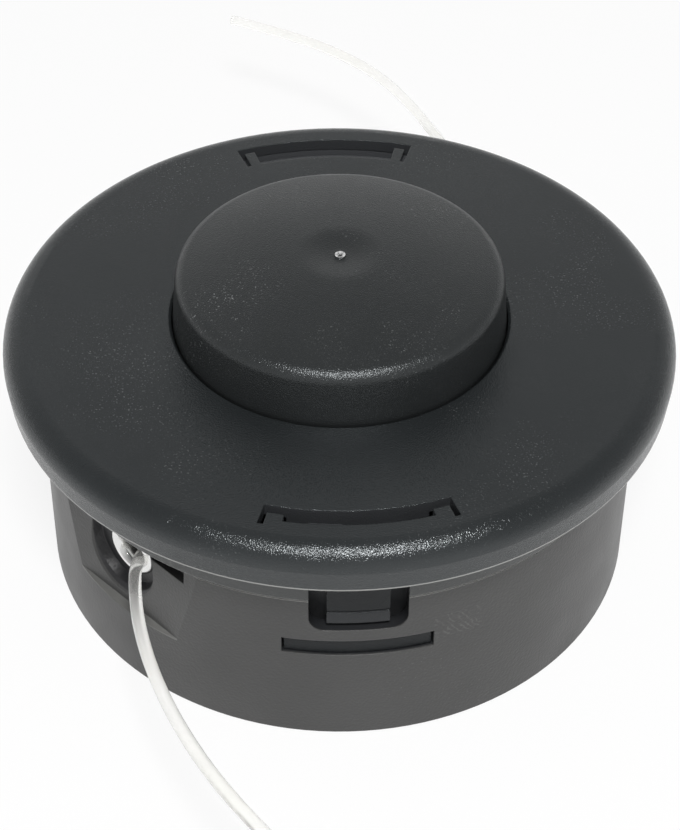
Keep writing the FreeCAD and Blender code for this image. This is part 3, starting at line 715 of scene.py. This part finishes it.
def eyelet(name, angle):
    out = Vector((math.cos(angle), math.sin(angle), 0))
    side = Vector((-math.sin(angle), math.cos(angle), 0))
    low, high = (Vector(corner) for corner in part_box(name))
    middle = (low + high) / 2
    reach = [vertex.co.dot(out) for vertex in nodes[name].data.vertices]
    profile = eyelet_profile(min(reach), max(reach), (high.z - low.z) / 2)
    turns = full_turn(EYELET_POINTS)
    rings = []
    for along, radius in profile:
        centre = out * along + Vector((0, 0, middle.z))
        reaches = [(radius * math.cos(t), radius * math.sin(t)) for t in turns]
        rings.append([centre + side * across + Vector((0, 0, up)) for across, up in reaches])
    piece = ring_stack(name + "_bush", rings, EYELET_STEEL)
    place_piece(piece, "housing", name)
    return piece


EYELET_PIECES = [eyelet(name, angle) for name, angle in EYELET_AXES.items()]
print("eyelets", [len(piece.data.vertices) for piece in EYELET_PIECES])

# %% [markdown]
# ## The threaded nut
# The solid has a plain bore. Here the bore follows a formula: the radius rises and falls with the height and
# the angle together, so the ridges climb like stairs. The thread is left-hand, because the head turns the
# other way from a usual screw and must not undo itself.

# %% Threaded nut
THREAD_PITCH = 1.5 * MM
THREAD_MINOR_R = 5.19 * MM
THREAD_MAJOR_R = 6.0 * MM
BORE_CHAMFER = 1.0 * MM
RINGS_PER_PITCH = 8
NUT_POINTS = 96
HEX_SIDE = math.radians(60)
HEX_CONE = math.radians(30)
CONE_STEPS = 4


def thread_radius(turn, height, low, high):
    phase = (height / THREAD_PITCH + turn / (2 * math.pi)) % 1.0
    ridge = 1 - abs(2 * phase - 1)
    cut = THREAD_MINOR_R + (THREAD_MAJOR_R - THREAD_MINOR_R) * ridge
    from_end = min(height - low, high - height)
    mouth = THREAD_MINOR_R + BORE_CHAMFER - from_end
    return max(cut, mouth)


def hex_radius(turn, flat, from_end):
    """Radius of the hexagon's side, cut back to a cone near its ends."""
    from_middle = (turn % HEX_SIDE) - HEX_SIDE / 2
    cone = flat + from_end / math.tan(HEX_CONE)
    return min(flat / math.cos(from_middle), cone)


def threaded_nut():
    low, high = (Vector(corner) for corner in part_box("drive_nut"))
    flat = (high.y - low.y) / 2
    corner = (high.x - low.x) / 2
    drop = (corner - flat) * math.tan(HEX_CONE)
    turns = full_turn(NUT_POINTS)
    steps = round((high.z - low.z) / THREAD_PITCH * RINGS_PER_PITCH)
    bore = [low.z + (high.z - low.z) * i / steps for i in range(steps + 1)]
    rings = []
    for z in bore:
        radii = [thread_radius(t, z, low.z, high.z) for t in turns]
        rings.append([(r * math.cos(t), r * math.sin(t), z) for r, t in zip(radii, turns)])
    shares = [i / CONE_STEPS for i in range(CONE_STEPS + 1)]
    sides = [high.z - drop * s for s in shares] + [low.z + drop * s for s in reversed(shares)]
    for z in sides:
        radii = [hex_radius(t, flat, min(z - low.z, high.z - z)) for t in turns]
        rings.append([(r * math.cos(t), r * math.sin(t), z) for r, t in zip(radii, turns)])
    piece = ring_stack("drive_nut_threaded", rings, NUT_STEEL)
    place_piece(piece, "housing", "drive_nut")
    return piece


NUT_PIECE = threaded_nut()
print("nut", len(NUT_PIECE.data.vertices), "points")

# %% [markdown]
# ## Tubes on a path
# The spring and the wound line are both round tubes that follow a path. A curve object could draw each, but
# Geometry Nodes work the path out from a few named sizes. The helpers make a group with its inputs, put
# a tube on a path, and turn what has grown into a plain mesh.

# %% Geometry node helpers


def new_group(name, inputs):
    """A geometry node group with one mesh output and the named inputs."""
    group = bpy.data.node_groups.new(name, "GeometryNodeTree")
    for label, kind in inputs.items():
        group.interface.new_socket(label, in_out="INPUT", socket_type="NodeSocket" + kind)
    group.interface.new_socket("Geometry", in_out="OUTPUT", socket_type="NodeSocketGeometry")
    entry = group.nodes.new("NodeGroupInput")
    return group, entry


def tube_along(group, entry, path):
    """Round tube on a path, with the group's wire radius and material, sent to the output."""
    section = group.nodes.new("GeometryNodeCurvePrimitiveCircle")
    join(group, entry.outputs["Sides"], section.inputs["Resolution"])
    join(group, entry.outputs["Wire Radius"], section.inputs["Radius"])
    tube = group.nodes.new("GeometryNodeCurveToMesh")
    tube.inputs["Fill Caps"].default_value = True
    join(group, path, tube.inputs["Curve"])
    join(group, section.outputs["Curve"], tube.inputs["Profile Curve"])
    smooth = group.nodes.new("GeometryNodeSetShadeSmooth")
    join(group, tube.outputs["Mesh"], smooth.inputs["Geometry"])
    real = group.nodes.new("GeometryNodeRealizeInstances")
    join(group, smooth.outputs["Geometry"], real.inputs["Geometry"])
    dressed = group.nodes.new("GeometryNodeSetMaterial")
    join(group, real.outputs["Geometry"], dressed.inputs["Geometry"])
    join(group, entry.outputs["Material"], dressed.inputs["Material"])
    leave = group.nodes.new("NodeGroupOutput")
    join(group, dressed.outputs["Geometry"], leave.inputs["Geometry"])


def grown_piece(name, group, values):
    """Mesh object grown by a node group from these values; the modifier is gone afterwards."""
    holder = bpy.data.objects.new(name + "_holder", bpy.data.meshes.new(name + "_holder"))
    bpy.context.scene.collection.objects.link(holder)
    modifier = holder.modifiers.new(name, "NODES")
    sockets = {item.name: item.identifier for item in group.interface.items_tree if item.in_out == "INPUT"}
    modifier.node_group = group
    for label, value in values.items():
        modifier[sockets[label]] = value
    grown = holder.evaluated_get(bpy.context.evaluated_depsgraph_get())
    mesh = bpy.data.meshes.new_from_object(grown)
    mesh.name = name
    bpy.data.objects.remove(holder)
    piece = bpy.data.objects.new(name, mesh)
    bpy.context.scene.collection.objects.link(piece)
    return piece


print("geometry node helpers ready")

# %% [markdown]
# ## The spring
# A compression spring of drawn wire holds the spool and the knob up. The spiral node makes its coil straight
# from the radius, the height and the number of turns, so no points are written down.

# %% Spring
SPRING_WIRE_R = 0.75 * MM
SPRING_TURNS = 6.0
SPRING_STEPS = 48
SPRING_SIDES = 12


def coil_group():
    inputs = {"Radius": "Float", "Low": "Vector", "Height": "Float", "Turns": "Float", "Steps": "Int",
              "Wire Radius": "Float", "Sides": "Int", "Material": "Material"}
    group, entry = new_group("coil", inputs)
    spiral = group.nodes.new("GeometryNodeCurveSpiral")
    spiral.inputs["Reverse"].default_value = True
    pairs = {"Radius": ("Start Radius", "End Radius"), "Height": ("Height",), "Turns": ("Rotations",),
             "Steps": ("Resolution",)}
    for label, targets in pairs.items():
        for target in targets:
            join(group, entry.outputs[label], spiral.inputs[target])
    lifted = group.nodes.new("GeometryNodeTransform")
    join(group, spiral.outputs["Curve"], lifted.inputs["Geometry"])
    join(group, entry.outputs["Low"], lifted.inputs["Translation"])
    tube_along(group, entry, lifted.outputs["Geometry"])
    return group


def spring_piece():
    low, high = (Vector(corner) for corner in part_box("spring"))
    values = {"Radius": (high.x - low.x) / 2 - SPRING_WIRE_R, "Low": (0, 0, low.z + SPRING_WIRE_R),
              "Height": high.z - low.z - 2 * SPRING_WIRE_R, "Turns": SPRING_TURNS, "Steps": SPRING_STEPS,
              "Wire Radius": SPRING_WIRE_R, "Sides": SPRING_SIDES, "Material": SPRING_STEEL}
    piece = grown_piece("spring_coil", coil_group(), values)
    place_piece(piece, "spring", "spring")
    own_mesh(piece)
    return piece


SPRING_PIECE = spring_piece()
print("spring", len(SPRING_PIECE.data.vertices), "points")

# %% [markdown]
# ## The windings
# Each chamber of the spool holds one line, wound to and fro in layers. Stacked rings would look too neat and
# wouldn't be one line. Here it is one long path: the number of each point gives its angle, its place up or
# down the chamber and its layer, as when it is wound by hand.

# %% Windings
WIND_TURNS = 5
WIND_LAYERS = 11
WIND_STEPS = 40
WIND_SIDES = 8


def winding_group():
    """Path of turns and layers: the point's number gives its turn, and the turn gives its layer."""
    inputs = {"Core Radius": "Float", "Layer Step": "Float", "Low": "Float", "Height": "Float",
              "Points": "Int", "Steps": "Float", "Turns": "Float", "Wire Radius": "Float", "Sides": "Int",
              "Material": "Material"}
    group, entry = new_group("winding", inputs)
    line = group.nodes.new("GeometryNodeCurvePrimitiveLine")
    points = group.nodes.new("GeometryNodeResampleCurve")
    join(group, line.outputs["Curve"], points.inputs["Curve"])
    join(group, entry.outputs["Points"], points.inputs["Count"])
    number = group.nodes.new("GeometryNodeInputIndex").outputs["Index"]
    turn = combine(group, "DIVIDE", number, entry.outputs["Steps"])
    layers = combine(group, "DIVIDE", turn, entry.outputs["Turns"])
    layer = combine(group, "FLOOR", layers, 0)
    outward = combine(group, "MULTIPLY", layer, entry.outputs["Layer Step"])
    radius = combine(group, "ADD", entry.outputs["Core Radius"], outward)
    rise = combine(group, "PINGPONG", layers, 1.0)
    lift = combine(group, "MULTIPLY", rise, entry.outputs["Height"])
    height = combine(group, "ADD", entry.outputs["Low"], lift)
    angle = combine(group, "MULTIPLY", turn, 2 * math.pi)
    place = group.nodes.new("ShaderNodeCombineXYZ")
    join(group, combine(group, "MULTIPLY", radius, combine(group, "COSINE", angle, 0)), place.inputs["X"])
    join(group, combine(group, "MULTIPLY", radius, combine(group, "SINE", angle, 0)), place.inputs["Y"])
    join(group, height, place.inputs["Z"])
    moved = group.nodes.new("GeometryNodeSetPosition")
    join(group, points.outputs["Curve"], moved.inputs["Geometry"])
    join(group, place.outputs["Vector"], moved.inputs["Position"])
    tube_along(group, entry, moved.outputs["Geometry"])
    return group


WINDING_GROUP = winding_group()


def winding_piece(node):
    low, high = (Vector(corner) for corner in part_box(node))
    wire = LINE_DIAMETER / 2
    outer = (high.x - low.x) / 2 - wire
    inner = min(math.hypot(*vertex.co.xy) for vertex in nodes[node].data.vertices) + wire
    values = {"Core Radius": inner, "Layer Step": (outer - inner) / (WIND_LAYERS - 1), "Low": low.z + wire,
              "Height": high.z - low.z - 2 * wire, "Points": WIND_LAYERS * WIND_TURNS * WIND_STEPS,
              "Steps": float(WIND_STEPS), "Turns": float(WIND_TURNS), "Wire Radius": wire,
              "Sides": WIND_SIDES, "Material": LINE_NYLON}
    piece = grown_piece(node + "_line", WINDING_GROUP, values)
    place_piece(piece, "spool", node)
    return piece


WINDING_PIECES = [winding_piece("winding_lower"), winding_piece("winding_upper")]
print("windings", [len(piece.data.polygons) for piece in WINDING_PIECES])

# %% [markdown]
# ## Finishes on the solids
# The mouldings were drawn in full as solids. Making them again would only risk a difference, so they keep
# their meshes and get their finish.

# %% Dress the solids
FINISHES = {"housing": DRUM_NYLON, "cover": COVER_NYLON, "bump_knob": KNOB_NYLON, "spool": SPOOL_NYLON}
for name, material in FINISHES.items():
    mesh = nodes[name].data
    mesh.materials.clear()
    mesh.materials.append(material)
print("dressed", sorted(FINISHES))

# %% [markdown]
# ## Floor
# The head stands on a white floor. A plain white surface would come out grey under this light. So most of
# what the eye sees of it glows, and the rest still takes the shadow. What is seen through the clear line is
# a little brighter, to make up for what the line takes away.

# %% Floor
THROUGH_LINE = 1.15
FLOOR_SIZE = 4.0
FLOOR_DROP = 0.1 * MM
FLOOR_COLOUR = (0.9, 0.9, 0.9)
FLOOR_ROUGHNESS = 0.9
FLOOR_GLOW_SHARE = 0.85


def white_floor():
    bpy.ops.mesh.primitive_plane_add(size=FLOOR_SIZE, location=(0, 0, -FLOOR_DROP))
    floor = bpy.context.object
    floor.name = "floor"
    material, tree, shader = new_finish("white floor")
    shader.inputs["Base Color"].default_value = (*FLOOR_COLOUR, 1)
    shader.inputs["Roughness"].default_value = FLOOR_ROUGHNESS
    glow = tree.nodes.new("ShaderNodeEmission")
    glow.inputs["Color"].default_value = (1, 1, 1, 1)
    paths = tree.nodes.new("ShaderNodeLightPath")
    through = paths.outputs["Is Transmission Ray"]
    seen = combine(tree, "MAXIMUM", paths.outputs["Is Camera Ray"], paths.outputs["Is Glossy Ray"])
    seen = combine(tree, "MAXIMUM", seen, through)
    join(tree, remap(tree, through, 0, 1, 1.0, THROUGH_LINE), glow.inputs["Strength"])
    mixed = tree.nodes.new("ShaderNodeMixShader")
    join(tree, combine(tree, "MULTIPLY", seen, FLOOR_GLOW_SHARE), mixed.inputs["Fac"])
    join(tree, shader.outputs["BSDF"], mixed.inputs[1])
    join(tree, glow.outputs["Emission"], mixed.inputs[2])
    join(tree, mixed.outputs["Shader"], tree.nodes["Material Output"].inputs["Surface"])
    floor.data.materials.append(material)
    return floor


FLOOR = white_floor()
print("floor", [round(v, 2) for v in FLOOR.dimensions])

# %% [markdown]
# ## Light
# One soft box hangs over the camera and draws the bright line along the rim. A second lamp would fill the
# shadows but add a second highlight, so white surroundings fill them. They are brighter near the horizon,
# which shows in steep sides, and dimmer overhead and to the sides, so that black nylon stays black.

# %% Light
HORIZON_RISE = 0.35
OVERHEAD_RISE = 0.8
HORIZON_LIGHT = 0.75
OVERHEAD_LIGHT = 0.3
SIDE_FROM = 0.3
SIDE_TO = 1.0
SIDE_GAIN = 0.52
BOX_PLACE = (0.02, -0.55, 0.95)
BOX_SIZE = (0.24, 0.22)
BOX_POWER = 9.5


def white_world():
    """White near the horizon and dimmer overhead; the eye sees it as plain white."""
    world = bpy.data.worlds.new("white surroundings")
    bpy.context.scene.world = world
    world.use_nodes = True
    tree = world.node_tree
    background = tree.nodes["Background"]
    background.inputs["Color"].default_value = (1, 1, 1, 1)
    split = tree.nodes.new("ShaderNodeSeparateXYZ")
    join(tree, tree.nodes.new("ShaderNodeTexCoord").outputs["Generated"], split.inputs["Vector"])
    light = remap(tree, split.outputs["Z"], HORIZON_RISE, OVERHEAD_RISE, HORIZON_LIGHT, OVERHEAD_LIGHT)
    sideways = combine(tree, "ABSOLUTE", split.outputs["X"], 0)
    light = combine(tree, "MULTIPLY", light, remap(tree, sideways, SIDE_FROM, SIDE_TO, 1.0, SIDE_GAIN))
    paths = tree.nodes.new("ShaderNodeLightPath")
    through = combine(tree, "MULTIPLY", paths.outputs["Is Transmission Ray"], THROUGH_LINE)
    seen = combine(tree, "MAXIMUM", paths.outputs["Is Camera Ray"], through)
    join(tree, combine(tree, "MAXIMUM", light, seen), background.inputs["Strength"])


def soft_box(name, place, size, power):
    lamp = bpy.data.lights.new(name, "AREA")
    lamp.shape = "RECTANGLE"
    lamp.size = size[0]
    lamp.size_y = size[1]
    lamp.energy = power
    box = bpy.data.objects.new(name, lamp)
    box.location = place
    box.rotation_euler = (-Vector(place)).to_track_quat("-Z", "Y").to_euler()
    bpy.context.scene.collection.objects.link(box)
    return box


white_world()
FRONT_BOX = soft_box("front box", BOX_PLACE, BOX_SIZE, BOX_POWER)
bpy.context.scene.view_settings.view_transform = "Standard"
print("light from", FRONT_BOX.name, "and the surroundings")
